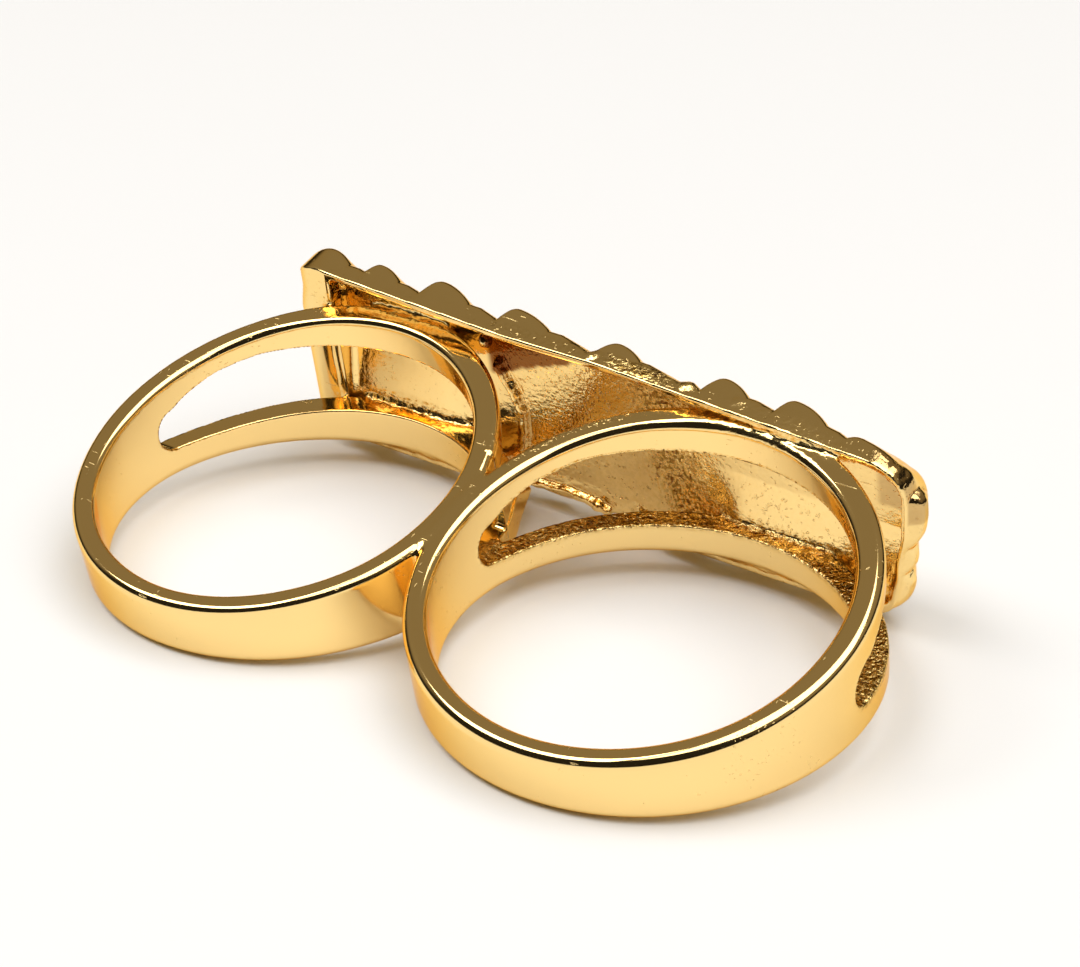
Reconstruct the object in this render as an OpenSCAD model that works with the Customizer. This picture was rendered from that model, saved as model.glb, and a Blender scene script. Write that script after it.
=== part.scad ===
// Two finger ring in gold-plated brass, cast and soldered into one piece.
// The modules draw it as it is worn, with the finger holes along Z, the palm side at -Y and
// the front plate at +Y. It is laid down last: the palm side of both bands and the lowest
// lobes of the plate then touch z = 0.

/* [Finger bands] */
// Inside diameter of each finger hole
finger_d = 18; // [16:0.1:20]
// Distance between the middles of the two finger holes
finger_pitch = 19.8; // [19.2:0.1:20.4]
// Wall of a band, halfway between palm and plate
band_wall = 1.2; // [1:0.05:1.5]
// How far the outside is set towards the plate, which thins the palm side
band_offset = 0.15; // [0:0.05:0.3]
// Height of a band, halfway between palm and plate
band_h = 5; // [4.6:0.1:5.6]
// Slope of each rim: the band grows towards the plate
rim_slope = 7.9; // [6:0.1:9]
// How much further each rim bows out, 10 mm to either side
rim_bow = 0.18; // [0:0.01:0.3]
// How much deeper the lower rim reaches at the palm
palm_drop = 0.35; // [0:0.05:0.5]

/* [Split] */
// Opening between the two arms of a band, beside the plate
split_h = 4.1; // [3.4:0.1:4.4]
// Diameter of the round end of the split
split_end_d = 1.9; // [1.4:0.1:2.2]
// Middle of that round end, towards the plate from the finger's middle
split_start = 1.55; // [0.5:0.05:3]
// Where the split reaches its full opening
split_full = 6.2; // [5:0.1:8]
// How far the split sits above the middle of the band
split_rise = 0.2; // [0:0.05:0.3]

/* [Front plate] */
// Length of the plate
plate_l = 34.5; // [33:0.1:36]
// Middle of the plate's length, from the middle between the fingers
plate_mid = 0.1; // [-1:0.1:1]
// Height of the plate halfway along
plate_h = 10; // [9.6:0.1:10.6]
// How much taller the plate is at its left end than at its right
plate_taper = 1.1; // [0:0.1:1.6]
// How far the plate leans along its length, as it was soldered on
plate_lean = 1.85; // [0:0.05:3]
// How far the middle of the plate sits above the middle of the bands
plate_rise = 0.1; // [0:0.05:0.3]
// Back rim of the plate, from the middle of the fingers
plate_back = 9.3; // [9.2:0.05:9.5]
// Front of the curved sheet, from the middle of the fingers
plate_front = 12.2; // [12:0.1:12.5]
// Radius of the curved front, under the lobes
plate_r = 8.5; // [8:0.1:9]
// Radius of the nearly flat floor of the hollow behind
hollow_curve = 60; // [40:1:80]
// Thickness of the plate along its middle, under the lobes
plate_t = 1.9; // [1.7:0.05:2]
// Width of the solid, rounded left end
end_block = 2.7; // [2.4:0.1:3.4]
// Wall at the right end
end_wall = 0.5; // [0.4:0.1:1]
// Width of the rim along the upper and lower edge
rim_wall = 0.5; // [0.4:0.1:1]
// Depth of the dip in the lower edge, between the bands
dip_depth = 1.2; // [0.8:0.1:1.5]

/* [Lobes] */
// Height of the slanted cast lobes over the curved sheet
lobe_depth = 0.5; // [0.3:0.05:0.6]
// Half the width of a lobe
lobe_w = 2.7; // [2.2:0.1:3]
// How much steeper one side of a lobe is than the other, at the edges
lobe_skew = 0.3; // [0:0.05:0.4]

/* [Web] */
// Angle round the left band where the joining web leaves it, from the palm
web_angle = 116; // [112:1:120]
// Thickness of the web
web_t = 0.6; // [0.5:0.1:1]

/* [Hidden] */
$fn = 96;

gold = [0.93, 0.74, 0.36];
bore_r = finger_d / 2;
band_r = bore_r + band_wall;
rim_k = tan(rim_slope);
reach = 60;                       // longer than the whole ring, for through cuts
bite = 0.15;                      // how far soldered pieces run into each other

// Height of the rims above and below the middle of the band, at y towards the plate
function band_half(y) = band_h / 2 + rim_k * y + rim_bow * pow(y / 10, 2);
function band_low(y) = band_half(y) + palm_drop * (1 - ease((y + 10) / 12));

// Half the plate's height at a place x along it
function plate_half(x) = plate_h / 2 - plate_taper / 2 * (x - plate_mid) / (plate_l / 2);

plate_left = plate_mid - plate_l / 2;
plate_right = plate_mid + plate_l / 2;
sheet_y = plate_front - plate_r;  // axis of the curved sheet

// The cast lobes: slanted ridges across the plate, each from TOP to FOOT along it, standing
// OVER past the upper edge and UNDER past the lower one
TOP = 0;
FOOT = 1;
OVER = 2;
UNDER = 3;
lobe_rows = [
    [-15.6, -9.3, 0.05, 0.1],
    [-12.2, -5.6, -0.05, -0.2],
    [-8.4, -2.0, 0.15, -0.2],
    [-4.0, 2.4, 0.15, -0.2],
    [2.0, 6.9, 0, -0.2],
    [4.6, 10.7, -0.3, 0.18],
    [7.4, 14.0, 0.1, -0.1],
    [10.9, 17.2, 0.1, 0],
    [14.7, 21.5, 0, 0],
];

// The lobes that show at the right end: height of the middle, half width, how far they stand out
end_lobes = [
    [1.6, 2.2, 0.7],
    [-1.3, 1.1, 0.4],
    [-3.3, 1.5, 0.3],
];

function clamp01(t) = min(max(t, 0), 1);
function ease(t) = let (u = clamp01(t)) u * u * (3 - 2 * u);
function quarter_round(t) = sqrt(1 - pow(1 - clamp01(t), 2));
function hump(t) = max(0, 1 - t * t);

// Upper and lower edge of the plate at x, with the corners rounded and the dip between the bands
function corner_drop(x) =
    1.6 * (1 - quarter_round((x - plate_left) / 2.6))
    + 1.3 * (1 - quarter_round((plate_right - x) / 2.2));
function edge_top(x) = plate_half(x) - corner_drop(x);
function edge_foot(x) =
    -plate_half(x) + corner_drop(x) + dip_depth * (1 - ease((abs(x + 0.7) - 2.9) / 2.2));

// Height of one row of lobes over the sheet, at x and at a share s of the way up, -1 to 1
function lobe_height(row, x, s) =
    let (
        off = x - (row[TOP] + row[FOOT]) / 2 - (row[TOP] - row[FOOT]) / 2 * s,
        w = lobe_w * (1 + (off > 0 ? 1 : -1) * lobe_skew * s)
    )
    (lobe_depth + max(s, 0) * row[OVER] - min(s, 0) * row[UNDER]) * hump(off / w);
function relief(x, s) = max([for (row = lobe_rows) lobe_height(row, x, s)]);
function end_relief(z) = max([for (lobe = end_lobes) lobe[2] * hump((z - lobe[0]) / lobe[1])]);

// Depth of the plate's two ends: the left one is a rounded nose about nose_y
nose_y = 10.4;
function nose(x) = 0.15 + 0.85 * quarter_round((x - plate_left) / (end_block / 2));
function tail(x) = 0.6 + 0.4 * quarter_round((plate_right - x) / 2.5);

// A point of the plate's back rim, and one of its front, at a share s of the way up
function back_y(x) = nose_y + (plate_back - nose_y) * nose(x);
function back_point(x, z) = [x, back_y(x), z];
function front_point(x, s) =
    let (
        z = (edge_top(x) + edge_foot(x)) / 2 + s * (edge_top(x) - edge_foot(x)) / 2,
        sheet = sheet_y + sqrt(plate_r * plate_r - z * z),
        high = relief(x, s),
        y = sheet + high * sqrt(1 - s * s)
    )
    [
        x + end_relief(z) * ease((x - plate_right + 3) / 3),
        nose_y + (y - nose_y) * nose(x) * tail(x),
        z + s * high * nose(x),
    ];

// A point of the hollow's floor. At both ends of the hollow it lies in the plane of the rim
hollow_l = plate_left + end_block;
hollow_r = plate_right - end_wall;
function hollow_round(x) =
    0.8 * (2 - quarter_round((x - hollow_l) / 1.5) - quarter_round((hollow_r - x) / 1.5));
function hollow_point(x, s) =
    let (
        top = edge_top(x) - rim_wall - hollow_round(x),
        foot = edge_foot(x) + rim_wall + hollow_round(x),
        z = (top + foot) / 2 + s * (top - foot) / 2,
        deep = plate_front - plate_t - z * z / (2 * hollow_curve),
        open = x > hollow_l + 0.1 && x < hollow_r - 0.1
    )
    [x, open ? deep : back_y(x), z];

steps = 12;                       // facets of a section, from the lower edge to the upper
stations = [
    for (i = [0:5]) plate_left + i * end_block / 5,
    for (i = [0:42]) hollow_l + 0.3 + i * (hollow_r - hollow_l - 0.6) / 42,
    hollow_r, plate_right,
];
plate_points = [
    for (x = stations)
        each [
            back_point(x, edge_foot(x)),
            for (j = [0:steps]) front_point(x, 2 * j / steps - 1),
            back_point(x, edge_top(x)),
            for (j = [0:steps]) hollow_point(x, 1 - 2 * j / steps),
        ],
];

// Turns a point of the plate with the lean that the plate was soldered on with
function leaned(v) = [
    v[0] * cos(plate_lean) + v[2] * sin(plate_lean),
    v[1],
    v[2] * cos(plate_lean) - v[0] * sin(plate_lean) + plate_rise,
];

// Tilt at which the ring rests: the palm edge and the lowest lobe come out level
palm_y = band_offset - band_r;
palm_z = -band_low(palm_y);
function level(y, z, t) = y * sin(t) + z * cos(t);
function foot_level(t) = min([for (v = plate_points) level(v[1], leaned(v)[2], t)]);
function settle(t, tries) =
    tries == 0 ? t : settle(t + (level(palm_y, palm_z, t) - foot_level(t)) * 3, tries - 1);
rest_tilt = settle(12, 20);
rest_lift = -level(palm_y, palm_z, rest_tilt);

// Shift along Y that brings the middle of the resting ring to the origin
palm_edge = palm_y * cos(rest_tilt) - band_half(palm_y) * sin(rest_tilt);
front_edge =
    max([for (v = plate_points) v[1] * cos(rest_tilt) - leaned(v)[2] * sin(rest_tilt)]);
rest_shift = -(palm_edge + front_edge) / 2;

// Extrudes an outline drawn in Y and Z along X
module along_x(l) rotate([90, 0, 90]) linear_extrude(height = l, center = true) children();

// Everything between the two sloping, slightly bowed rims
module between_rims() {
    far = 12;
    along_x(reach)
        polygon([
            for (y = [-far:2:far]) [y, -band_low(y)],
            for (y = [far:-2:-far]) [y, band_half(y)],
        ]);
}

// Outside of one finger band, side -1 or 1
module band_blank(side)
    intersection() {
        translate([side * finger_pitch / 2, band_offset, -reach / 2])
            cylinder(r = band_r, h = reach);
        between_rims();
    }

module finger_hole(side)
    translate([side * finger_pitch / 2, 0, -reach / 2]) cylinder(r = bore_r, h = reach);

// The opening that splits both bands into an upper and a lower arm
module split() {
    far = 14;
    r = split_end_d / 2;
    translate([0, 0, split_rise]) {
        translate([0, split_start, 0]) rotate([0, 90, 0])
            cylinder(r = r, h = reach, center = true);
        along_x(reach)
            polygon([
                [split_start, -r], [split_full, -split_h / 2], [far, -split_h / 2],
                [far, split_h / 2], [split_full, split_h / 2], [split_start, r],
            ]);
    }
}

// Both finger bands, which run into each other where they meet
module finger_bands()
    difference() {
        for (side = [-1, 1]) band_blank(side);
        for (side = [-1, 1]) finger_hole(side);
        split();
    }

// Web that leaves the left band on a straight line towards the back of the plate, its top
// falling from the band's rim to the plate's lower edge
module joining_web() {
    leave = [band_r * sin(web_angle) - finger_pitch / 2, band_offset - band_r * cos(web_angle)];
    run = [cos(web_angle), sin(web_angle)];
    side = [run[1], -run[0]];
    meet = (plate_back + 1 - leave[1]) / run[1];
    intersection() {
        linear_extrude(height = reach, center = true)
            polygon([
                leave - run * 0.6, leave + run * meet,
                leave + run * meet - side * web_t, leave + run * 2.4 - side * web_t,
            ]);
        along_x(reach)
            polygon([
                [3, -band_half(3) + bite], [plate_back + 1, -band_half(9)],
                [leave[1], band_half(leave[1]) - bite], [3, band_half(3) - bite],
            ]);
    }
}

// The hollow-backed front plate with its lobes, lofted through its sections. A section runs
// from its lower rim up the front to its upper rim, and back down through the hollow
module front_plate() {
    ring = 2 * steps + 4;             // points in one section
    last = (len(stations) - 1) * ring;
    translate([0, 0, plate_rise]) rotate([0, plate_lean, 0])
        polyhedron(
            points = plate_points,
            faces = [
                for (i = [0:len(stations) - 2], j = [0:ring - 1])
                    let (a = i * ring + j, b = i * ring + (j + 1) % ring)
                        each [[a, b + ring, b], [a, a + ring, b + ring]],
                for (j = [0:steps]) [j, j + 1, ring - 1 - j],
                for (j = [1:steps + 1]) [j, ring - 1 - j, ring - j],
                for (j = [0:steps]) [last + j + 1, last + j, last + ring - 1 - j],
                for (j = [1:steps + 1]) [last + ring - 1 - j, last + j, last + ring - j],
            ]
        );
}

module two_finger_ring()
    color(gold)
        translate([0, rest_shift, rest_lift]) rotate([rest_tilt, 0, 0])
            union() {
                finger_bands();
                joining_web();
                front_plate();
            }

two_finger_ring();
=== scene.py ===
import math
import bpy
import numpy as np
from mathutils import Matrix, Vector


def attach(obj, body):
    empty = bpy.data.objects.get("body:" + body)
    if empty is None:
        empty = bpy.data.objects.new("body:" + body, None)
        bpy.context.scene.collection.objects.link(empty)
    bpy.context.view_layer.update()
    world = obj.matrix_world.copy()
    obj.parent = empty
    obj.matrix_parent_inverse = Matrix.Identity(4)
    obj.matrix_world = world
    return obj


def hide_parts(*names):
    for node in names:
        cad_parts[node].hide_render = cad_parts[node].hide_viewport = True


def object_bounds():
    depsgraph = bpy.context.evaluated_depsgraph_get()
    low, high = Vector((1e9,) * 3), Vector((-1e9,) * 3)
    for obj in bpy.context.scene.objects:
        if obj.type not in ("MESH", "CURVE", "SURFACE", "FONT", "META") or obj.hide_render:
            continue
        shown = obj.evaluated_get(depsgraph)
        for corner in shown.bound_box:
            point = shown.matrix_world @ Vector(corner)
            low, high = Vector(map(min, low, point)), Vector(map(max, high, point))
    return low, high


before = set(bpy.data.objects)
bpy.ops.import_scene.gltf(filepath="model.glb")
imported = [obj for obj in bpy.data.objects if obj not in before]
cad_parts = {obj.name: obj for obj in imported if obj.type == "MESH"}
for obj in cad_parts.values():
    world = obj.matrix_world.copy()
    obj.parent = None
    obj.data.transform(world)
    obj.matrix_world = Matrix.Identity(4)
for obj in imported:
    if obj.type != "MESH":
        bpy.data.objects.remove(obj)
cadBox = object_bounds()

# The ring is drawn as it is worn, in millimetres: finger holes along Z, palm side at -Y,
# front plate at +Y. It is laid down and turned into metres when a mesh is made.
# Shapes are fields: negative inside, zero on the surface, and about the distance to it.
# In the dictionaries, a pair whose name ends in Fade says where a change starts and its length.
restTilt = math.radians(10.717)     # it rests on the palm edges and the foot of the plate
millimetres = 1000.0                # in a metre


def smoothStep(t):
    t = np.clip(t, 0.0, 1.0)
    return t * t * (3.0 - 2.0 * t)


def fadeIn(value, start, length):
    # 0 up to start, 1 from start + length on
    return smoothStep((value - start) / length)


def fadeBelow(value, start, length):
    # 0 down to start, 1 from start - length down
    return smoothStep((start - value) / length)


def closeTo(away, reach):
    # 1 at no distance, 0 from reach on
    return smoothStep(1.0 - away / reach)


def roundMax(a, b, r):
    # both of two shapes, with their common edge rounded
    u = np.maximum(a + r, 0.0)
    v = np.maximum(b + r, 0.0)
    return np.minimum(np.maximum(a, b), -r) + np.sqrt(u * u + v * v)


def roundMin(a, b, r):
    # either of two shapes, with a fillet in their corner
    return -roundMax(-a, -b, r)


def wander(x, y, z, size, seed):
    # slow, even unevenness, about -1 to 1; the odd factors keep it from repeating
    k = 2.0 * math.pi / size
    s = seed * 1.7
    return (np.sin(k * x + 1.3 * np.sin(k * 0.7 * y + s) + s)
            + np.sin(k * 0.9 * y + 1.1 * np.sin(k * 0.8 * z + 2.0 * s) + 2.1 * s)
            + np.sin(k * 1.1 * z + 1.2 * np.sin(k * 0.6 * x + 3.0 * s) + 0.7 * s)) / 3.0


# Both finger bands, with the long openings between their arms and the web on the left one
band = {
    "bore": 9.0,            # radius of a finger hole
    "outer": 10.2,          # radius of the outside
    "offset": 0.15,         # the outside is set this far towards the plate
    "half": 9.9,            # from the middle of the ring to the middle of a finger
    "height": 5.0,          # halfway between palm and plate
    "slope": 0.1388,        # growth of each rim towards the plate
    "bow": 0.0018,          # and a little more at both ends
    "palmDrop": 0.35,       # the lower rim stands this much deeper at the palm
    "dropFade": (-10.0, 12.0),
    "rimRound": 0.36,       # rounding of the left band's upper rim
    "rimRoundRight": 0.44,
    "uneven": 0.07, "unevenSize": 9.0,      # how that rounding varies along the rim
    "footRound": 0.5,       # rounding of the lower rims
    "slotRound": 0.12,      # and of the edges of the openings
    "weld": 0.35,           # fillet where the bands meet
    # the opening between the arms: its edges' heights at some places along Y
    "split": {
        "start": 1.5,       # middle of the round end
        "startRight": 1.15,     # the same on the right band's far side
        "places": [1.5, 2.5, 4.0, 6.0, 8.0, 10.0, 13.0],
        "upper": [1.02, 1.45, 1.9, 2.2, 2.22, 2.2, 2.2],
        "lowerLeft": [-1.1, -1.28, -1.48, -1.6, -1.65, -1.65, -1.65],
        "lowerRight": [-1.1, -1.3, -1.52, -1.75, -2.0, -2.2, -2.3],
    },
    "web": {
        "angle": 116.5,     # where it leaves the left band, in degrees from the palm
        "wall": 0.5, "growth": 0.05,        # its thickness, and more of it towards the plate
        "top": 2.9, "fall": 1.45,           # its upper edge, and how steeply that falls away
        "steep": 0.8,       # evens out the distance to that edge
        "footGap": 0.1, "footFrom": 9.0,    # it ends above the lower rim, which is level from there
        "start": -0.8, "end": 11.3,         # from inside the band's wall to inside the plate
        "sideRound": 0.2, "edgeRound": 0.25,
        "round": 0.3,       # fillet against the band
    },
    # solder beside the plate and in the seam, and rough cast skin on the right band
    "marks": {
        "solderReach": 0.9,
        "seam": 0.3, "seamReach": 0.9, "seamFade": (1.2, 1.4), "seamSkinFade": (-0.25, 0.2),
        "splitReach": 0.25, "wallFade": (1.1, 0.3),
        "strip": 0.5,       # a narrow strip along the outer edge of the upper rim
        "stripRimFade": (-0.35, 0.2), "stripOutFade": (9.45, 0.3),
        "stripPlateFade": (2.0, 2.0), "stripEndFade": (6.0, 3.0),
    },
    "grid": {"low": (-20.5, -10.5, -4.3), "high": (20.5, 11.6, 4.3), "step": 0.13,
             "triangles": 190000},
}


def halfHeight(y):
    return band["height"] / 2.0 + band["slope"] * y + band["bow"] * y * y


def lowerHalf(y):
    return halfHeight(y) + band["palmDrop"] * (1.0 - fadeIn(y, *band["dropFade"]))


def splitField(x, y, z, lower):
    split = band["split"]
    start = np.where(x > band["half"], split["startRight"], split["start"])
    along = np.maximum(y, split["start"])
    top = np.interp(along, split["places"], split["upper"])
    foot = np.interp(along, split["places"], split[lower])
    middle, half = (top + foot) / 2.0, (top - foot) / 2.0
    return np.hypot(np.minimum(y - start, 0.0), z - middle) - half


def oneBand(x, y, z, side):
    px = x - side * band["half"]
    outside = np.hypot(px, y - band["offset"]) - band["outer"]
    inside = band["bore"] - np.hypot(px, y)
    rim = np.maximum(z - halfHeight(y), -z - lowerHalf(y)) * math.cos(math.atan(band["slope"]))
    rimRound = band["rimRound"] if side < 0 else band["rimRoundRight"]
    uneven = band["uneven"] * wander(x, y, z, band["unevenSize"], seed=5)
    edge = np.where(z > 0.0, rimRound + uneven, band["footRound"])
    wall = roundMax(np.maximum(outside, inside), rim, edge)
    split = splitField(x, y, z, "lowerLeft" if side < 0 else "lowerRight")
    return roundMax(wall, -split, band["slotRound"])


def webField(x, y, z):
    web = band["web"]
    a = math.radians(web["angle"])
    startX = band["outer"] * math.sin(a) - band["half"]
    startY = band["offset"] - band["outer"] * math.cos(a)
    face = (x - startX) * math.sin(a) - (y - startY) * math.cos(a)
    back = -face - web["wall"] - web["growth"] * (y - startY)
    topLine = web["top"] - web["fall"] * np.maximum(y - startY, 0.0)
    high = (z - topLine) * web["steep"]
    low = -z - halfHeight(np.minimum(y, web["footFrom"])) + web["footGap"]
    body = roundMax(roundMax(face, back, web["sideRound"]), np.maximum(high, low), web["edgeRound"])
    return np.maximum(body, np.maximum(startY + web["start"] - y, y - web["end"]))


def bandsField(x, y, z):
    both = roundMin(oneBand(x, y, z, -1), oneBand(x, y, z, 1), band["weld"])
    return roundMin(both, webField(x, y, z), band["web"]["round"])


# The front plate with its lobes, its hollow behind and the solder that ran over its rim
plate = {
    "left": -17.2, "right": 17.35,
    "height": 10.0,
    "taper": 1.1,           # the left end is higher and the right end lower by this much
    "middle": 0.1, "halfLength": 17.4,
    "lean": 1.85, "rise": 0.1,              # its turn in degrees and its height over the bands
    "leftCorner": {"drop": 1.9, "length": 2.6},
    "rightCorner": {"drop": 1.5, "length": 2.2},
    "footLift": 0.45,       # the lower edge starts higher, because the lobes stand past it
    "sag": 0.3,             # the upper edge lies this much lower over the left band
    "sagFade": (-4.5, 7.0),
    "dip": 0.45,            # the lower edge rises this much between the bands
    "dipAt": -0.7, "dipFade": (2.9, 2.2),
    "filed": 0.8,           # and its rim is filed back this much there
    "filedFade": (-1.5, 1.5),
    "back": 9.3,            # the rim, from the middle of the fingers
    "axis": 0.5,            # the front curves round this line
    "radius": 11.4,         # under the lobes
    "topThin": 0.55,        # the front falls back this much towards the upper edge
    "endThin": 0.45, "endThinFade": (11.5, 4.0),    # and more of it over the right end
    "footThin": 0.2,        # and this much towards the lower edge
    "thinFrom": 0.6,        # from this share of the half height
    "edgeRound": 0.35, "rimRound": 0.1,
    "lobes": {
        "height": 0.68,
        "topHeight": 0.42,  # and this much more at the upper edge
        "over": 0.3, "overFrom": 9.4, "overLength": 1.6,    # how far they stand past that edge
        "under": 1.15,      # and past the lower edge, between notches cut deeper there
        "underFade": (9.4, 1.9),
        "bend": 1.5,        # their slant is steeper near the lower edge
        "rise": 0.8, "fall": 1.8,           # how round both flanks are
        "tail": 0.42, "tailLength": 2.0,    # the low ground behind each
        # from left to right: where a lobe starts, crests and ends along the upper edge, the
        # same along the lower edge, and its height against the others
        "rows": [
            {"top": (-24.6, -22.8, -21.0), "foot": (-18.5, -16.2, -15.2), "high": 1.0},
            {"top": (-20.9, -19.2, -17.8), "foot": (-15.2, -13.0, -11.9), "high": 1.0},
            {"top": (-17.2, -15.5, -13.3), "foot": (-11.9, -9.4, -8.0), "high": 1.0},
            {"top": (-12.9, -12.25, -10.3), "foot": (-8.0, -5.6, -4.5), "high": 0.95},
            {"top": (-9.4, -8.6, -6.0), "foot": (-4.5, -1.9, -0.8), "high": 1.15},
            {"top": (-4.8, -4.1, -1.2), "foot": (-0.8, 1.8, 3.0), "high": 1.05},
            {"top": (0.9, 1.8, 3.7), "foot": (3.0, 5.4, 7.2), "high": 0.85},
            {"top": (6.7, 7.5, 9.3), "foot": (7.3, 9.8, 11.2), "high": 0.9},
            {"top": (10.3, 11.0, 13.5), "foot": (11.2, 12.6, 13.6), "high": 0.95},
            {"top": (13.8, 14.6, 17.0), "foot": (13.6, 16.0, 18.0), "high": 0.6},
        ],
    },
    "rightEnd": {
        "lean": 0.25, "leanFade": (1.0, 2.0),           # it leans in towards its foot
        "footLean": 0.2, "footLeanFade": (-1.5, 1.5),
        "slant": 0.55, "slantFrom": 10.3,               # and slants back towards the front
        "round": 0.6,
        # bulges along it: height, half width, how far it stands out
        "bulges": [
            {"at": 1.9, "half": 2.3, "out": 0.6},
            {"at": -0.7, "half": 0.95, "out": 0.42},
            {"at": -2.7, "half": 1.4, "out": 0.5},
        ],
        "bulgeFade": (9.4, 0.6),
    },
    "leftEnd": {
        "dish": 0.1, "dishFrom": 1.3, "dishFade": (3.4, 1.5),       # its back is dished
        "lip": 0.07, "lipFade": (2.2, 0.2), "lipTopFade": (3.2, 1.2),   # with a lip at the hollow
        "cut": 0.13, "cutLength": 2.6, "cutFade": (2.2, 1.5),       # and its upper corner cut down
        "round": 1.3,
    },
    "hollow": {
        "floor": 10.3,      # its deepest line
        "floorRadius": 60.0,    # it is nearly flat
        "floorTilt": 0.18, "tiltFrom": 0.5,     # and shallower below, behind the fingers
        "leftTiltFade": (-9.0, 4.0), "rightTiltFade": (6.8, 2.0),
        "rim": 0.36,        # width of the rim above and below
        "leftBlock": 2.8, "rightWall": 0.25,
        "floorRound": 0.6, "leftRound": 0.4, "rightRound": 0.3, "edgeRound": 0.12,
    },
    "solder": {
        # rods of it: down the corner of the left band and the plate, and along the filed edge
        "rods": [
            {"places": [(-4.75, 10.1, 2.6), (-4.5, 10.2, 1.8), (-4.03, 10.2, 0.95),
                        (-3.7, 10.2, 0.05), (-3.75, 10.2, -1.0), (-4.0, 10.2, -2.1)],
             "size": 0.27},
            {"places": [(-3.7, 10.05, -4.05), (-1.36, 10.0, -3.88), (-0.07, 10.0, -4.05),
                        (0.85, 10.0, -4.3)],
             "size": 0.2},
        ],
        # beads that ran out along the rim
        "beads": [
            {"at": (-5.05, 9.75, 4.1), "size": 0.34},
            {"at": (0.3, 9.95, -4.1), "size": 0.3},
            {"at": (1.2, 9.85, 4.72), "size": 0.36},
            {"at": (6.2, 10.05, 4.42), "size": 0.44},
            {"at": (8.85, 10.05, 4.22), "size": 0.42},
            {"at": (16.6, 9.8, 3.4), "size": 0.36},
        ],
        "uneven": 0.05, "unevenSize": 0.8,
        "beadRound": 0.1, "round": 0.2,         # fillets between them and against the plate
    },
    # solder in the corners, cast skin in the hollow, and painted shade in its upper corner
    "marks": {
        "solderFrom": 0.1, "solderReach": 0.8,
        "run": 0.3, "runReach": 0.25,           # a little of it round the rods and beads
        "floorSoft": 0.2, "rimFade": (9.42, 0.1),
        "uneven": 0.25, "unevenSize": 1.1, "fine": 0.15, "fineSize": 0.5,
        "skin": 0.08, "middleSkin": 0.22, "middleFade": (-5.5, 2.0),
        "rightLess": 0.7, "rightFade": (6.3, 1.0),
        # a rough stretch beside the right finger
        "rough": 0.7, "roughX": 4.0, "roughZ": 3.75, "roughSlant": 0.23,
        "roughFull": 1.3, "roughReach": 1.6,
        "shadeX": -4.4, "shadeZ": 2.2, "shadeSlant": 0.4,       # the painted shade's lower line
        "shadeFade": (-5.6, 0.4), "shadeEnd": 1.0, "shadeTop": 4.7,
        "shadeSoft": 0.16, "shadeUneven": 0.3,
        "endShade": 0.45, "endShadeZ": 1.1, "endShadeFade": (15.4, 0.4),     # a weak patch of painted shade at the right end
    },
    "grid": {"low": (-17.9, 8.9, -6.6), "high": (18.6, 12.9, 6.6), "step": 0.12,
             "triangles": 180000},
}


def plateFrame(x, z):
    lean = math.radians(plate["lean"])
    z = z - plate["rise"]
    return x * math.cos(lean) - z * math.sin(lean), z * math.cos(lean) + x * math.sin(lean)


def cornerDrop(away, corner):
    # a quarter of an ellipse off the edge, at this distance from the end
    inward = 1.0 - np.clip(away / corner["length"], 0.0, 1.0)
    return corner["drop"] * (1.0 - np.sqrt(1.0 - inward ** 2))


def betweenBands(x):
    # 1 along the dip in the lower edge, 0 beyond it
    return 1.0 - fadeIn(np.abs(x - plate["dipAt"]), *plate["dipFade"])


def plateEdges(x):
    # upper and lower edge of the plate, with rounded corners and the dip
    half = plate["height"] / 2.0 - plate["taper"] / 2.0 * (x - plate["middle"]) / plate["halfLength"]
    drop = cornerDrop(x - plate["left"], plate["leftCorner"]) \
        + cornerDrop(plate["right"] - x, plate["rightCorner"])
    sag = plate["sag"] * (1.0 - fadeIn(x, *plate["sagFade"]))
    dip = plate["dip"] * betweenBands(x)
    return half - drop - sag, -half + drop + dip + plate["footLift"]


def lobeHeight(x, z):
    # height of the lobes at a place on the plate, 0 in a notch and 1 on a crest
    lobes = plate["lobes"]
    upper, lower = plateEdges(x)
    up = 1.0 - (1.0 - np.clip((z - lower) / (upper - lower), 0.0, 1.0)) ** lobes["bend"]
    high = np.zeros_like(x)
    for row in lobes["rows"]:
        start, crest, end = (foot + (top - foot) * up for foot, top in zip(row["foot"], row["top"]))
        rise = np.clip((x - start) / (crest - start), 0.0, 1.0) ** lobes["rise"]
        fall = 1.0 - np.clip((end - x) / (end - crest), 0.0, 1.0)
        here = rise * (2.0 - rise) * (1.0 - fall ** lobes["fall"])
        tail = lobes["tail"] * np.clip(1.0 - (x - end) / lobes["tailLength"], 0.0, 1.0) * (x > crest)
        high = np.maximum(high, row["high"] * np.maximum(here, tail))
    return high


def plateFront(x, y, z, middle, half, relief):
    # the curved front and the upper and lower edges, with the lobes on them
    lobes = plate["lobes"]
    above = z > middle
    near = fadeIn(np.abs(z - middle) / half, plate["thinFrom"], 1.0 - plate["thinFrom"])
    topThin = plate["topThin"] + plate["endThin"] * fadeIn(x, *plate["endThinFade"])
    thin = near * np.where(above, topThin, plate["footThin"])
    height = lobes["height"] + lobes["topHeight"] * (near * above)
    outside = np.hypot(y - plate["axis"], z) - plate["radius"] + thin - height * relief
    over = lobes["over"] * np.clip((y - lobes["overFrom"]) / lobes["overLength"], 0.0, 1.0)
    under = lobes["under"] * fadeIn(y, *lobes["underFade"])
    edge = np.abs(z - middle) - half - np.where(above, over, under) * relief
    return roundMax(outside, edge, plate["edgeRound"])


def rightLean(z):
    end = plate["rightEnd"]
    return end["lean"] * fadeBelow(z, *end["leanFade"]) \
        + end["footLean"] * fadeBelow(z, *end["footLeanFade"])


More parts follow.
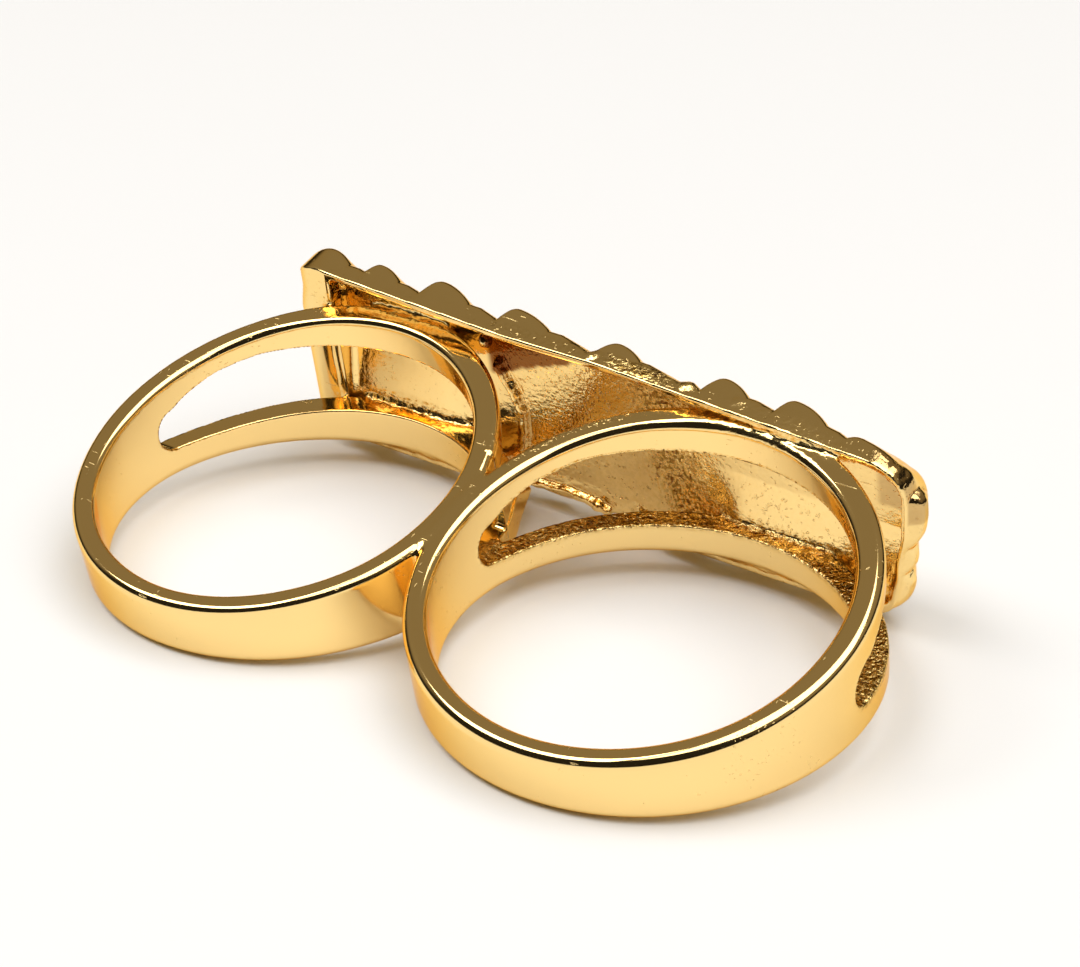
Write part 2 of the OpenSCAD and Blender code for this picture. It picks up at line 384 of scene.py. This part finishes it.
def plateRight(x, y, z):
    end = plate["rightEnd"]
    out = np.zeros_like(z)
    for bulge in end["bulges"]:
        out = np.maximum(out, bulge["out"] * np.maximum(
            1.0 - ((z - bulge["at"]) / bulge["half"]) ** 2, 0.0))
    return x - plate["right"] + rightLean(z) - out * fadeIn(y, *end["bulgeFade"]) \
        + end["slant"] * np.maximum(y - end["slantFrom"], 0.0)


def plateBack(x, y, z):
    # the rim behind and the rounded left end
    end = plate["leftEnd"]
    inward = x - plate["left"]
    dish = end["dish"] * np.clip(inward - end["dishFrom"], 0.0, 1.0) ** 2
    lip = end["lip"] * fadeIn(inward, *end["lipFade"])
    cut = end["cut"] * np.clip(end["cutLength"] - inward, 0.0, end["cutLength"])
    back = plate["back"] - y + dish * fadeBelow(z, *end["dishFade"]) \
        - lip * fadeBelow(z, *end["lipTopFade"])
    back = back + cut * fadeIn(z, *end["cutFade"])
    back = back + plate["filed"] * betweenBands(x) * fadeBelow(z, *plate["filedFade"])
    return roundMax(back, plate["left"] - x, end["round"])


def plateHollow(x, y, z, middle, half):
    hollow = plate["hollow"]
    fingers = 1.0 - fadeIn(x, *hollow["leftTiltFade"]) + fadeIn(x, *hollow["rightTiltFade"])
    floor = y - hollow["floor"] + (z - middle) ** 2 / (2.0 * hollow["floorRadius"]) \
        - hollow["floorTilt"] * fingers * np.minimum(z - hollow["tiltFrom"], 0.0)
    walls = np.abs(z - middle) - half + hollow["rim"]
    shape = roundMax(floor, walls, hollow["floorRound"])
    shape = roundMax(shape, plate["left"] + hollow["leftBlock"] - x, hollow["leftRound"])
    return roundMax(shape, x - plate["right"] + hollow["rightWall"] + rightLean(z),
                    hollow["rightRound"])


def plateField(x, y, z):
    # the plate without its solder
    x, z = plateFrame(x, z)
    upper, lower = plateEdges(x)
    middle, half = (upper + lower) / 2.0, (upper - lower) / 2.0
    shape = plateFront(x, y, z, middle, half, lobeHeight(x, z))
    shape = roundMax(shape, plateRight(x, y, z), plate["rightEnd"]["round"])
    shape = roundMax(shape, plateBack(x, y, z), plate["rimRound"])
    return roundMax(shape, -plateHollow(x, y, z, middle, half), plate["hollow"]["edgeRound"])


def solderField(x, y, z):
    solder = plate["solder"]
    p = np.stack([x, y, z], axis=-1)
    nearest = np.full(x.shape, 9.0)         # far away
    for rod in solder["rods"]:
        for a, b in zip(rod["places"][:-1], rod["places"][1:]):
            a, b = np.array(a), np.array(b)
            t = np.clip((p - a) @ (b - a) / ((b - a) @ (b - a)), 0.0, 1.0)
            away = np.linalg.norm(p - a - t[..., None] * (b - a), axis=-1) - rod["size"]
            nearest = np.minimum(nearest, away)
    for bead in solder["beads"]:
        away = np.linalg.norm(p - np.array(bead["at"]), axis=-1) - bead["size"]
        nearest = roundMin(nearest, away, solder["beadRound"])
    return nearest + solder["uneven"] * wander(x, y, z, solder["unevenSize"], seed=3)


# Where the bands are soldered to the plate
corner = {
    "fillet": 0.3, "uneven": 0.12, "unevenSize": 1.3,
    "from": 8.0,            # the bands are plain up to here
    "under": 0.012,         # the bands' piece stays this much under the plate's skin
    "inside": 0.12,         # and reaches this far into the plate
    "reach": 0.7,           # the fillet goes no farther from the bands
}


def wholeField(x, y, z):
    # bands and plate with their fillet, and each alone
    sheet = plateField(x, y, z)
    bands = bandsField(x, y, z)
    fillet = corner["fillet"] + corner["uneven"] * wander(x, y, z, corner["unevenSize"], seed=2)
    return roundMin(bands, sheet, fillet), bands, sheet


def bandsPieceField(x, y, z):
    near = y > corner["from"]
    if not near.any():
        return bandsField(x, y, z)
    whole, bands, sheet = wholeField(x, y, z)
    skin = np.maximum(whole + corner["under"], -sheet - corner["inside"])
    return np.where(near, np.maximum(skin, bands - corner["reach"]), bands + corner["under"])


def platePieceField(x, y, z):
    return roundMin(plateField(x, y, z), solderField(x, y, z), plate["solder"]["round"])


# Marks: where the material shows solder, cast skin or painted shade, 0 to 1
def bandsMarks(x, y, z):
    marks = band["marks"]
    _, _, sheet = wholeField(x, y, z)
    solder = closeTo(np.maximum(sheet, 0.0), marks["solderReach"])
    outside = np.hypot(np.abs(x) - band["half"], y - band["offset"]) - band["outer"]
    seam = closeTo(np.abs(x), marks["seamReach"]) * fadeIn(y, *marks["seamFade"]) \
        * fadeIn(outside, *marks["seamSkinFade"])
    radial = np.hypot(x - band["half"], y)
    wallMiddle = (band["bore"] + band["outer"]) / 2.0
    inSplit = closeTo(np.abs(splitField(x, y, z, "lowerRight")), marks["splitReach"]) \
        * fadeBelow(np.abs(radial - wallMiddle), *marks["wallFade"])
    strip = fadeIn(z - halfHeight(y), *marks["stripRimFade"]) \
        * fadeIn(radial, *marks["stripOutFade"]) * fadeIn(y, *marks["stripPlateFade"]) \
        * fadeBelow(x, *marks["stripEndFade"]) * (x > 0.0)
    # the bands get no painted shade
    return {"solder": np.maximum(solder, marks["seam"] * seam),
            "cast": np.maximum(inSplit, marks["strip"] * strip),
            "paintedShade": np.zeros_like(x)}


def plateMarks(x, y, z):
    marks, hollow = plate["marks"], plate["hollow"]
    _, pz = plateFrame(x, z)
    floorLine = hollow["floor"] + marks["floorSoft"] - pz ** 2 / (2.0 * hollow["floorRadius"])
    inHollow = fadeBelow(y, floorLine, marks["floorSoft"]) * fadeIn(y, *marks["rimFade"])
    run = closeTo(np.maximum(solderField(x, y, z), 0.0), marks["runReach"])
    joint = closeTo(np.maximum(bandsField(x, y, z) - marks["solderFrom"], 0.0), marks["solderReach"])
    uneven = marks["uneven"] * wander(x, y, z, marks["unevenSize"], seed=4) \
        + marks["fine"] * wander(x, y, z, marks["fineSize"], seed=6)

    roughMiddle = marks["roughX"] + marks["roughSlant"] * (marks["roughZ"] - z)
    away = np.abs(x - roughMiddle + uneven) / marks["roughReach"]
    skin = marks["skin"] + marks["middleSkin"] * fadeIn(x, *marks["middleFade"]) \
        * (1.0 - marks["rightLess"] * fadeIn(x, *marks["rightFade"]))
    cast = inHollow * (skin + marks["rough"] * smoothStep(marks["roughFull"] - away))

    def aboveLine(line):
        return smoothStep((z - line + marks["shadeUneven"] * uneven) / marks["shadeSoft"] + 0.5)

    # painted shade: a dark wedge in the hollow's upper corner, where it would mirror the dark upper
    # wall, and a weak patch at the right end
    shadeLine = marks["shadeZ"] + marks["shadeSlant"] * (x - marks["shadeX"])
    cornerShade = aboveLine(shadeLine) * fadeIn(x, *marks["shadeFade"]) * (x < marks["shadeEnd"])
    endShade = marks["endShade"] * fadeIn(x, *marks["endShadeFade"]) * aboveLine(marks["endShadeZ"])
    return {"solder": np.maximum(joint, marks["run"] * run),
            "cast": cast,
            "paintedShade": inHollow * np.maximum(cornerShade, endShade) * (z < marks["shadeTop"])}


# Laying down and meshing
def turnDown(v):
    c, s = math.cos(restTilt), math.sin(restTilt)
    return np.stack([v[:, 0], v[:, 1] * c - v[:, 2] * s, v[:, 1] * s + v[:, 2] * c], axis=1)


def layDown(p):
    # from the worn frame in millimetres to the row frame in metres, with the palm on the floor
    c, s = math.cos(restTilt), math.sin(restTilt)
    palmY = band["offset"] - band["outer"]
    palmZ = -lowerHalf(palmY)
    lift = -(palmY * s + palmZ * c)
    shift = cadBox[0][1] * millimetres - (palmY * c - halfHeight(palmY) * s)
    return (turnDown(p) + np.array([0.0, shift, lift])) / millimetres


def surfaceNet(values, low, step):
    # points and quads on the surface where the field is zero
    inside = values < 0.0
    count = np.zeros(tuple(n - 1 for n in values.shape), np.uint8)
    corners = [(i, j, k) for i in (0, 1) for j in (0, 1) for k in (0, 1)]
    nx, ny, nz = values.shape
    for i, j, k in corners:
        count += inside[i:nx - 1 + i, j:ny - 1 + j, k:nz - 1 + k]
    cells = np.argwhere((count > 0) & (count < len(corners)))
    number = np.full(count.shape, -1, np.int32)
    number[cells[:, 0], cells[:, 1], cells[:, 2]] = np.arange(len(cells))

    # a cell's point is the middle of where its edges cross the surface
    total = np.zeros((len(cells), 3))
    hits = np.zeros(len(cells))
    for a in corners:
        for axis in range(3):
            if a[axis]:
                continue
            b = list(a)
            b[axis] = 1
            fa = values[cells[:, 0] + a[0], cells[:, 1] + a[1], cells[:, 2] + a[2]]
            fb = values[cells[:, 0] + b[0], cells[:, 1] + b[1], cells[:, 2] + b[2]]
            cross = (fa < 0.0) != (fb < 0.0)
            t = np.where(cross, fa / np.where(cross, fa - fb, 1.0), 0.0)
            for n in range(3):
                total[:, n] += cross * (a[n] + (t if n == axis else 0.0))
            hits += cross
    points = low + (cells + total / hits[:, None]) * step

    # a quad joins the four cells round each grid edge that crosses the surface
    quads = []
    for axis in range(3):
        u, v = (axis + 1) % 3, (axis + 2) % 3
        first = [slice(None)] * 3
        second = [slice(None)] * 3
        first[axis], second[axis] = slice(0, -1), slice(1, None)
        outward = inside[tuple(first)]
        at = np.argwhere(outward != inside[tuple(second)])
        at = at[(at[:, u] > 0) & (at[:, v] > 0)
                & (at[:, u] < values.shape[u] - 1) & (at[:, v] < values.shape[v] - 1)]
        flip = outward[at[:, 0], at[:, 1], at[:, 2]]
        loop = []
        for du, dv in ((-1, -1), (0, -1), (0, 0), (-1, 0)):
            c = at.copy()
            c[:, u] += du
            c[:, v] += dv
            loop.append(number[c[:, 0], c[:, 1], c[:, 2]])
        loop = np.stack(loop, axis=1)
        quads.append(np.where(flip[:, None], loop, loop[:, ::-1]))
    return points, np.concatenate(quads)


def slopes(field, p):
    gap = 0.02                  # to both sides of a point
    g = np.zeros_like(p)
    for n in range(3):
        a, b = p.copy(), p.copy()
        a[:, n] += gap
        b[:, n] -= gap
        g[:, n] = (field(*a.T) - field(*b.T)) / (2.0 * gap)
    return g


def settleOn(field, p, times):
    # moves points onto the surface
    flattest, longest, tiny = 0.2, 0.05, 1e-9       # limits of the slope and of one move
    for _ in range(times):
        g = slopes(field, p)
        size = np.maximum((g * g).sum(axis=1), flattest)
        move = -(field(*p.T) / size)[:, None] * g
        length = np.linalg.norm(move, axis=1, keepdims=True)
        p = p + move * np.minimum(1.0, longest / np.maximum(length, tiny))
    return p


def gridValues(field, low, high, step):
    # the field on a grid of points, a slab at a time to spare memory
    slab = 24
    axes = [np.arange(low[n], high[n] + step, step) for n in range(3)]
    values = np.empty(tuple(len(a) for a in axes), np.float32)
    for i in range(0, len(axes[0]), slab):
        x, y, z = np.meshgrid(axes[0][i:i + slab], axes[1], axes[2], indexing="ij")
        values[i:i + slab] = field(x, y, z)
    return values


def thinOut(piece, share):
    # keeps about this share of the triangles
    full = piece.data
    thin = piece.modifiers.new("thin", "DECIMATE")
    thin.ratio = share
    graph = bpy.context.evaluated_depsgraph_get()
    piece.data = bpy.data.meshes.new_from_object(piece.evaluated_get(graph))
    piece.modifiers.clear()
    bpy.data.meshes.remove(full)
    piece.data.name = piece.name


def makePiece(name, field, marks, grid):
    # grid has the box to search, its step and the most triangles that are kept
    low = np.array(grid["low"])
    values = gridValues(field, low, grid["high"], grid["step"])
    points, quads = surfaceNet(values, low, grid["step"])
    points = settleOn(field, points, times=2)
    piece = bpy.data.objects.new(name, bpy.data.meshes.new(name))
    piece.data.from_pydata(points.tolist(), [], quads.tolist())
    bpy.context.scene.collection.objects.link(piece)
    if len(quads) * 2 > grid["triangles"]:
        thinOut(piece, grid["triangles"] / (len(quads) * 2.0))

    mesh = piece.data
    worn = np.empty(len(mesh.vertices) * 3)
    mesh.vertices.foreach_get("co", worn)
    worn = settleOn(field, worn.reshape(-1, 3), times=2)
    normals = slopes(field, worn)
    normals /= np.maximum(np.linalg.norm(normals, axis=1, keepdims=True), 1e-9)
    mesh.vertices.foreach_set("co", layDown(worn).ravel())
    mesh.polygons.foreach_set("use_smooth", [True] * len(mesh.polygons))
    mesh.update()
    mesh.normals_split_custom_set_from_vertices(turnDown(normals).tolist())
    for label, values in marks(*worn.T).items():
        mask = mesh.attributes.new(label, "FLOAT", "POINT")
        mask.data.foreach_set("value", np.clip(values, 0.0, 1.0).astype(np.float32))
    print(name, len(mesh.vertices), "points", len(mesh.polygons), "faces")
    return piece


bandsMesh = makePiece("finger_bands", bandsPieceField, bandsMarks, band["grid"])
plateMesh = makePiece("front_plate", platePieceField, plateMarks, plate["grid"])

for piece in (bandsMesh, plateMesh):
    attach(piece, "root")
    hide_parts("two_finger_ring")


# Materials
def addNode(tree, kind, **settings):
    node = tree.nodes.new(kind)
    for key, value in settings.items():
        setattr(node, key, value)
    return node


def joinUp(tree, outlet, inlet):
    tree.links.new(outlet, inlet)


def sums(tree, how, a, b, clamp=False):
    # one math node; a and b are sockets or plain numbers
    node = addNode(tree, "ShaderNodeMath", operation=how, use_clamp=clamp)
    for socket, value in zip(node.inputs, (a, b)):
        if hasattr(value, "is_output"):
            joinUp(tree, value, socket)
        else:
            socket.default_value = value
    return node.outputs[0]


def spread(tree, value, low, high):
    # stretches low..high to 0..1 with soft ends
    node = addNode(tree, "ShaderNodeMapRange", interpolation_type="SMOOTHSTEP")
    node.inputs["From Min"].default_value = low
    node.inputs["From Max"].default_value = high
    joinUp(tree, value, node.inputs["Value"])
    return node.outputs["Result"]


def blend(tree, share, first, second):
    # from the first colour to the second; the first may be a socket
    node = addNode(tree, "ShaderNodeMix", data_type="RGBA")
    if hasattr(first, "is_output"):
        joinUp(tree, first, node.inputs[6])
    else:
        node.inputs[6].default_value = first
    node.inputs[7].default_value = second
    joinUp(tree, share, node.inputs["Factor"])
    return node.outputs[2]


def newEffect(name, inlets, outlets):
    tree = bpy.data.node_groups.new(name, "ShaderNodeTree")
    for side, sockets in (("INPUT", inlets), ("OUTPUT", outlets)):
        for label, kind in sockets:
            tree.interface.new_socket(name=label, in_out=side, socket_type="NodeSocket" + kind)
    return tree, tree.nodes.new("NodeGroupInput"), tree.nodes.new("NodeGroupOutput")


def stretched(tree, place, scale, turn):
    node = addNode(tree, "ShaderNodeMapping")
    node.inputs["Rotation"].default_value = turn
    node.inputs["Scale"].default_value = scale
    joinUp(tree, place, node.inputs["Vector"])
    return node.outputs["Vector"]


def speckle(tree, place, scale, detail):
    node = addNode(tree, "ShaderNodeTexNoise")
    node.inputs["Scale"].default_value = scale
    node.inputs["Detail"].default_value = detail
    joinUp(tree, place, node.inputs["Vector"])
    return node.outputs[0]


def cellDistance(tree, place, scale, feature="F1"):
    node = addNode(tree, "ShaderNodeTexVoronoi", feature=feature)
    node.inputs["Scale"].default_value = scale
    joinUp(tree, place, node.inputs["Vector"])
    return node.outputs["Distance"]


def castGrain():
    # fine granular skin of a casting, with deeper pits and dark specks here and there
    tree, start, end = newEffect("cast grain", [("Place", "Vector")],
                                 [("Height", "Float"), ("Pits", "Float"), ("Specks", "Float")])
    place = start.outputs["Place"]
    fine = speckle(tree, place, scale=5.5, detail=3.0)
    lumps = sums(tree, "MULTIPLY", cellDistance(tree, place, scale=4.2), -0.5)
    joinUp(tree, sums(tree, "ADD", fine, lumps), end.inputs["Height"])
    pits = speckle(tree, place, scale=3.6, detail=2.0)
    joinUp(tree, spread(tree, pits, low=0.62, high=0.7), end.inputs["Pits"])
    specks = speckle(tree, place, scale=5.0, detail=1.0)
    joinUp(tree, spread(tree, specks, low=0.46, high=0.6), end.inputs["Specks"])
    return tree


def toolRipples():
    # fine uneven lines along the ring, from finishing the inside of the plate
    tree, start, end = newEffect("ripples", [("Place", "Vector")], [("Height", "Float")])
    lines = stretched(tree, start.outputs["Place"], scale=(0.8, 5.0, 5.0), turn=(0.0, 0.05, 0.0))
    joinUp(tree, speckle(tree, lines, scale=1.0, detail=2.0), end.inputs["Height"])
    return tree


def fineScratches():
    # short scratches in two directions and in loose groups
    tree, start, end = newEffect("scratches", [("Place", "Vector")], [("Mask", "Float")])
    place = start.outputs["Place"]
    masks = []
    for scale, turn in (((0.9, 9.0, 9.0), (0.0, 0.3, 0.5)), ((9.0, 1.1, 8.0), (0.4, 0.0, -0.3))):
        lines = speckle(tree, stretched(tree, place, scale, turn), scale=1.0, detail=0.0)
        masks.append(spread(tree, lines, low=0.76, high=0.82))
    groups = spread(tree, speckle(tree, place, scale=0.35, detail=1.0), low=0.52, high=0.62)
    either = sums(tree, "MAXIMUM", masks[0], masks[1])
    joinUp(tree, sums(tree, "MULTIPLY", either, groups), end.inputs["Mask"])
    return tree


def solderLumps():
    # small rounded lumps where solder ran out of a joint
    tree, start, end = newEffect("solder lumps", [("Place", "Vector")], [("Height", "Float")])
    place = start.outputs["Place"]
    bumps = sums(tree, "SUBTRACT", 1.0, cellDistance(tree, place, scale=3.6, feature="SMOOTH_F1"))
    small = sums(tree, "MULTIPLY", speckle(tree, place, scale=6.0, detail=2.0), 0.35)
    joinUp(tree, sums(tree, "ADD", bumps, small), end.inputs["Height"])
    return tree


effects = {"grain": castGrain(), "ripples": toolRipples(), "scratches": fineScratches(),
           "lumps": solderLumps()}
print("effects", ", ".join(effects))


def useEffect(tree, name, place):
    node = addNode(tree, "ShaderNodeGroup", node_tree=effects[name])
    joinUp(tree, place, node.inputs["Place"])
    return node


goldLook = {
    "bright": (0.98, 0.71, 0.295, 1.0),
    "deep": (0.85, 0.58, 0.15, 1.0),        # in the rough places
    "speckled": (0.32, 0.17, 0.025, 1.0),
    # dark red-brown for the pits and for the painted shade in the hollow
    "pitsAndPaintedShade": (0.17, 0.032, 0.002, 1.0),
    "edge": (1.0, 0.72, 0.36, 1.0),         # seen at a flat angle
    # roughness, and what each finish adds to it
    "rough": 0.07, "patchRough": 0.05, "castRough": 0.07, "solderRough": 0.1, "scratchRough": 0.25,
    "patchScale": 0.22,
    # heights of the reliefs in millimetres
    "wavy": 0.012, "grain": 0.09, "ripples": 0.045, "lumps": 0.05, "scratch": 0.006,
    "pits": 0.05,
    "wavyScale": 0.45,
    # how much of the deeper colours shows
    "castDeep": 0.6, "solderDeep": 0.3, "deepRange": (0.05, 0.5),
    # the last is how far the painted shade darkens
    "speckDark": 0.85, "pitDark": 0.8, "paintedShadeDark": 0.92,
}


def goldMaterial(name, look):
    material = bpy.data.materials.new(name)
    material.use_nodes = True
    tree = material.node_tree
    shader = tree.nodes["Principled BSDF"]
    shader.inputs["Metallic"].default_value = 1.0
    shader.inputs["Specular Tint"].default_value = look["edge"]
    coords = addNode(tree, "ShaderNodeTexCoord")
    scaled = addNode(tree, "ShaderNodeVectorMath", operation="SCALE")
    scaled.inputs["Scale"].default_value = millimetres
    joinUp(tree, coords.outputs["Object"], scaled.inputs[0])
    place = scaled.outputs[0]
    # masks for solder, cast skin and painted shade
    solder, cast, paintedShade = (
        addNode(tree, "ShaderNodeAttribute", attribute_name=label).outputs["Fac"]
        for label in ("solder", "cast", "paintedShade"))
    grain = useEffect(tree, "grain", place)
    ripples = useEffect(tree, "ripples", place)
    lumps = useEffect(tree, "lumps", place)
    scratches = useEffect(tree, "scratches", place).outputs["Mask"]
    patches = speckle(tree, place, look["patchScale"], detail=2.0)

    # relief
    waves = speckle(tree, place, look["wavyScale"], detail=1.0)
    height = sums(tree, "MULTIPLY", waves, look["wavy"])
    for amount, mask, relief in (
            (look["grain"], cast, grain.outputs["Height"]),
            (look["ripples"], cast, ripples.outputs["Height"]),
            (look["lumps"], solder, lumps.outputs["Height"]),
            (-look["pits"], cast, grain.outputs["Pits"])):
        part = sums(tree, "MULTIPLY", sums(tree, "MULTIPLY", relief, amount), mask)
        height = sums(tree, "ADD", height, part)
    height = sums(tree, "ADD", height, sums(tree, "MULTIPLY", scratches, -look["scratch"]))
    bump = addNode(tree, "ShaderNodeBump")
    bump.inputs["Strength"].default_value = 1.0
    bump.inputs["Distance"].default_value = 1.0 / millimetres
    joinUp(tree, height, bump.inputs["Height"])
    joinUp(tree, bump.outputs["Normal"], shader.inputs["Normal"])

    # roughness
    rough = sums(tree, "ADD", look["rough"], sums(tree, "MULTIPLY", patches, look["patchRough"]))
    rough = sums(tree, "ADD", rough, sums(tree, "MULTIPLY", cast, look["castRough"]))
    rough = sums(tree, "ADD", rough, sums(tree, "MULTIPLY", solder, look["solderRough"]))
    rough = sums(tree, "ADD", rough, sums(tree, "MULTIPLY", scratches, look["scratchRough"]),
                 clamp=True)
    joinUp(tree, rough, shader.inputs["Roughness"])

    # colour: deeper in the rough places, then dark specks, then darker pits and the painted shade
    hidden = sums(tree, "MAXIMUM", sums(tree, "MULTIPLY", cast, look["castDeep"]),
                  sums(tree, "MULTIPLY", solder, look["solderDeep"]))
    hidden = sums(tree, "MULTIPLY", hidden,
                  spread(tree, grain.outputs["Height"], *look["deepRange"]))
    colour = blend(tree, hidden, look["bright"], look["deep"])
    dark = sums(tree, "MULTIPLY", grain.outputs["Specks"], sums(tree, "MULTIPLY", cast, cast))
    dark = sums(tree, "MULTIPLY", dark, look["speckDark"])
    colour = blend(tree, dark, colour, look["speckled"])
    spots = sums(tree, "MULTIPLY", grain.outputs["Pits"], cast)
    # pits and painted shade both darken towards the same dark red-brown
    pitsAndShade = sums(tree, "MAXIMUM", sums(tree, "MULTIPLY", spots, look["pitDark"]),
                  sums(tree, "MULTIPLY", paintedShade, look["paintedShadeDark"]))
    joinUp(tree, blend(tree, pitsAndShade, colour, look["pitsAndPaintedShade"]), shader.inputs["Base Color"])
    return material


gold = goldMaterial("gold plate", goldLook)
for piece in (bandsMesh, plateMesh):
    piece.data.materials.append(gold)
print("material", gold.name)

# The white floor, in metres from here on
paperFloor = {"reach": 3.0, "colour": (0.9, 0.9, 0.9, 1.0), "rough": 0.8}


def makeFloor():
    reach = paperFloor["reach"]
    mesh = bpy.data.meshes.new("floor")
    mesh.from_pydata([(-reach, -reach, 0), (reach, -reach, 0), (reach, reach, 0), (-reach, reach, 0)],
                     [], [(0, 1, 2, 3)])
    paper = bpy.data.materials.new("white paper")
    paper.use_nodes = True
    shader = paper.node_tree.nodes["Principled BSDF"]
    shader.inputs["Base Color"].default_value = paperFloor["colour"]
    shader.inputs["Roughness"].default_value = paperFloor["rough"]
    mesh.materials.append(paper)
    sheet = bpy.data.objects.new("floor", mesh)
    bpy.context.scene.collection.objects.link(sheet)
    return sheet


floor = makeFloor()
print("floor", paperFloor["reach"] * 2.0, "metres wide")

# The camera, fitted to the photo in the worn frame: angles in radians, lengths in millimetres
camera = {
    "azimuth": 0.70735, "elevation": 0.63764, "roll": -0.14880,
    "distance": 102.286, "target": (0.3044, 5.9227, 0.0),
    "focalPixels": 2212.52, "photoWidth": 1080.0, "sensor": 36.0,
    "clipStart": 0.005,     # metres
}


def placeCamera():
    azimuth, elevation, roll = camera["azimuth"], camera["elevation"], camera["roll"]
    back = np.array([math.sin(azimuth) * math.cos(elevation),
                     -math.cos(azimuth) * math.cos(elevation),
                     math.sin(elevation)])
    right = np.array([math.cos(azimuth), math.sin(azimuth), 0.0])
    up = np.cross(back, right)
    c, s = math.cos(roll), math.sin(roll)
    right, up = c * right + s * up, -s * right + c * up
    place = np.array(camera["target"]) + back * camera["distance"]
    turn = turnDown(np.array([right, up, back]))
    spot = layDown(place[None, :])[0]
    data = bpy.data.cameras.new("camera")
    data.lens = camera["focalPixels"] / camera["photoWidth"] * camera["sensor"]
    data.sensor_width = camera["sensor"]
    data.clip_start = camera["clipStart"]
    lookFrom = bpy.data.objects.new("camera", data)
    bpy.context.scene.collection.objects.link(lookFrom)
    lookFrom.matrix_world = Matrix((
        (turn[0][0], turn[1][0], turn[2][0], spot[0]),
        (turn[0][1], turn[1][1], turn[2][1], spot[1]),
        (turn[0][2], turn[1][2], turn[2][2], spot[2]),
        (0, 0, 0, 1)))
    bpy.context.scene.camera = lookFrom
    print("camera at", spot, "pitch", math.degrees(math.asin(turn[2][2])),
          "roll", math.degrees(math.asin(turn[0][2])))


placeCamera()

# Two softboxes that shine straight down
softboxes = [
    {"name": "overhead softbox", "place": (0.65, 0.0, 1.2), "size": (1.3, 1.4), "power": 16.9},
    {"name": "left softbox", "place": (-0.7, -0.5, 1.2), "size": (1.2, 0.66), "power": 12.0},
]


def softLight(box):
    data = bpy.data.lights.new(box["name"], "AREA")
    data.shape = "RECTANGLE"
    data.size, data.size_y = box["size"]
    data.energy = box["power"]
    lamp = bpy.data.objects.new(box["name"], data)
    lamp.location = box["place"]
    lamp.rotation_euler = Vector((0.0, 0.0, 1.0)).to_track_quat("Z", "Y").to_euler()
    bpy.context.scene.collection.objects.link(lamp)
    print(box["name"], box["power"], "watts")


for box in softboxes:
    softLight(box)

# The room round the ring: warm and dim above and beyond it, dark behind the camera and along
# the floor
room = {
    "dark": (0.018, 0.016, 0.014, 1.0), "warm": (0.24, 0.2, 0.14, 1.0),
    "cameraRange": (-0.5, -0.1), "floorRange": (0.15, 0.45),
}


def makeRoom():
    world = bpy.data.worlds.new("studio")
    bpy.context.scene.world = world
    world.use_nodes = True
    tree = world.node_tree
    coords = addNode(tree, "ShaderNodeTexCoord")
    split = addNode(tree, "ShaderNodeSeparateXYZ")
    joinUp(tree, coords.outputs["Generated"], split.inputs[0])
    beyond = spread(tree, split.outputs["Y"], *room["cameraRange"])
    above = spread(tree, split.outputs["Z"], *room["floorRange"])
    colour = blend(tree, sums(tree, "MULTIPLY", beyond, above), room["dark"], room["warm"])
    joinUp(tree, colour, tree.nodes["Background"].inputs["Color"])


makeRoom()
bpy.context.scene.view_settings.view_transform = "Standard"
print("room and view set")
